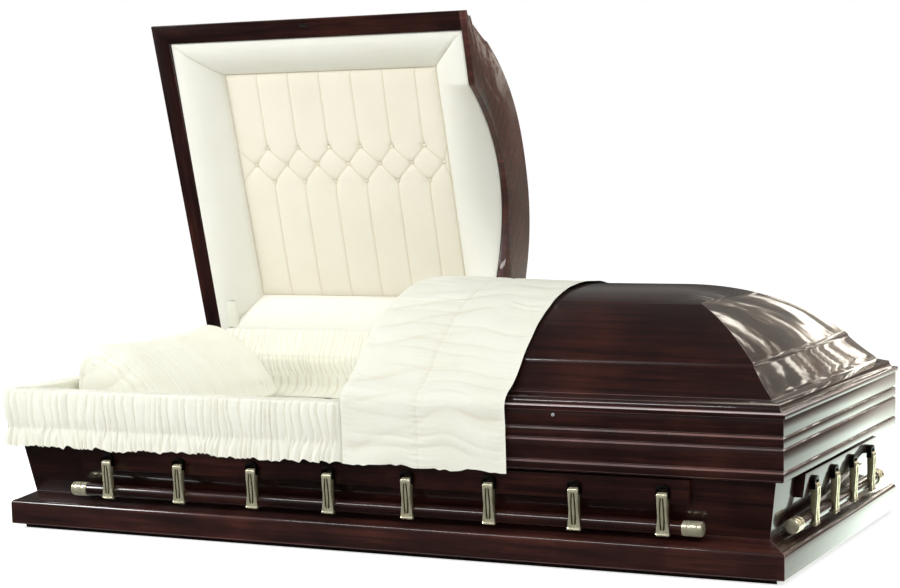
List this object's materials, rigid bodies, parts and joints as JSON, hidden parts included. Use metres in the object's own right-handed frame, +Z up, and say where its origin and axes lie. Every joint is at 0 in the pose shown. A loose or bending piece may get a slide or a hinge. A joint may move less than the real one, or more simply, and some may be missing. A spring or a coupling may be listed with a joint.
{
  "type": "funeral casket",
  "caption": "Half-couch hardwood casket, head lid open: gloss mahogany body and domed lids on a moulded base, swing-bar handles, ivory cloth interior.",
  "frame": {"origin": "middle of the underside, on the face that stands on the ground", "axes": "+X to the foot end, -Y the front, +Z up"},
  "size_m": [2.0646, 1.0903, 1.2912],
  "materials": {
    "mahogany": "high gloss lacquer over dark red stain",
    "antique_brass": "antiqued, lacquered",
    "steel": "satin",
    "ivory_cloth": "soft crepe",
    "tufted_cloth": "soft crepe, pleated and buttoned"
  },
  "bodies": {
    "body": {"base_foot": "mahogany", "base_moulding": "mahogany", "body_shell": "mahogany", "body_band": "mahogany", "handle_board_front": "mahogany", "handle_board_back": "mahogany", "handle_board_head": "mahogany", "handle_board_foot": "mahogany", "hinge_head_body": "steel", "hinge_foot_body": "steel", "pin_foot": "steel", "mattress": "ivory_cloth", "pillow": "ivory_cloth", "skirt": "ivory_cloth", "side_lining": "ivory_cloth", "back_apron": "ivory_cloth"},
    "head_lid": {"head_lid": "mahogany", "head_lid_rib": "mahogany", "hinge_head_lid": "steel", "catch_head": "steel", "lid_border": "ivory_cloth", "lid_panel": "tufted_cloth", "stay_cover": "ivory_cloth"},
    "foot_lid": {"foot_lid": "mahogany", "foot_lid_rib": "mahogany", "hinge_foot_lid": "steel", "overlay": "ivory_cloth"},
    "front_bar": {"bar_front": "mahogany", "arm_front_1": "antique_brass", "arm_front_2": "antique_brass", "arm_front_3": "antique_brass", "arm_front_4": "antique_brass", "arm_front_5": "antique_brass", "arm_front_6": "antique_brass", "arm_front_7": "antique_brass", "arm_front_8": "antique_brass"},
    "back_bar": {"bar_back": "mahogany", "arm_back_1": "antique_brass", "arm_back_2": "antique_brass", "arm_back_3": "antique_brass", "arm_back_4": "antique_brass", "arm_back_5": "antique_brass", "arm_back_6": "antique_brass", "arm_back_7": "antique_brass", "arm_back_8": "antique_brass"},
    "head_bar": {"bar_head": "mahogany", "arm_head_1": "antique_brass", "arm_head_2": "antique_brass", "arm_head_3": "antique_brass", "arm_head_4": "antique_brass"},
    "foot_bar": {"bar_foot": "mahogany", "arm_foot_1": "antique_brass", "arm_foot_2": "antique_brass", "arm_foot_3": "antique_brass", "arm_foot_4": "antique_brass"}
  },
  "joints": [
    {"name": "head_lid_hinge", "type": "hinge", "parent": "body", "child": "head_lid", "pos_m": [-0.5, 0.4824, 0.3694], "axis": [1, 0, 0], "range_deg": [0, 75.4], "deforming": ["pillow", "back_apron"]},
    {"name": "foot_lid_hinge", "type": "hinge", "parent": "body", "child": "foot_lid", "pos_m": [0.5, 0.4824, 0.3694], "axis": [-1, 0, 0], "range_deg": [0, 75.4]},
    {"name": "front_bar_hinge", "type": "hinge", "parent": "body", "child": "front_bar", "pos_m": [0, -0.4632, 0.183], "axis": [-1, 0, 0], "range_deg": [0, 75]},
    {"name": "back_bar_hinge", "type": "hinge", "parent": "body", "child": "back_bar", "pos_m": [0, 0.4632, 0.183], "axis": [1, 0, 0], "range_deg": [0, 75]},
    {"name": "foot_bar_hinge", "type": "hinge", "parent": "body", "child": "foot_bar", "pos_m": [1.0172, 0, 0.183], "axis": [0, -1, 0], "range_deg": [0, 75]},
    {"name": "head_bar_hinge", "type": "hinge", "parent": "body", "child": "head_bar", "pos_m": [-1.0172, 0, 0.183], "axis": [0, 1, 0], "range_deg": [0, 75]}
  ]
}
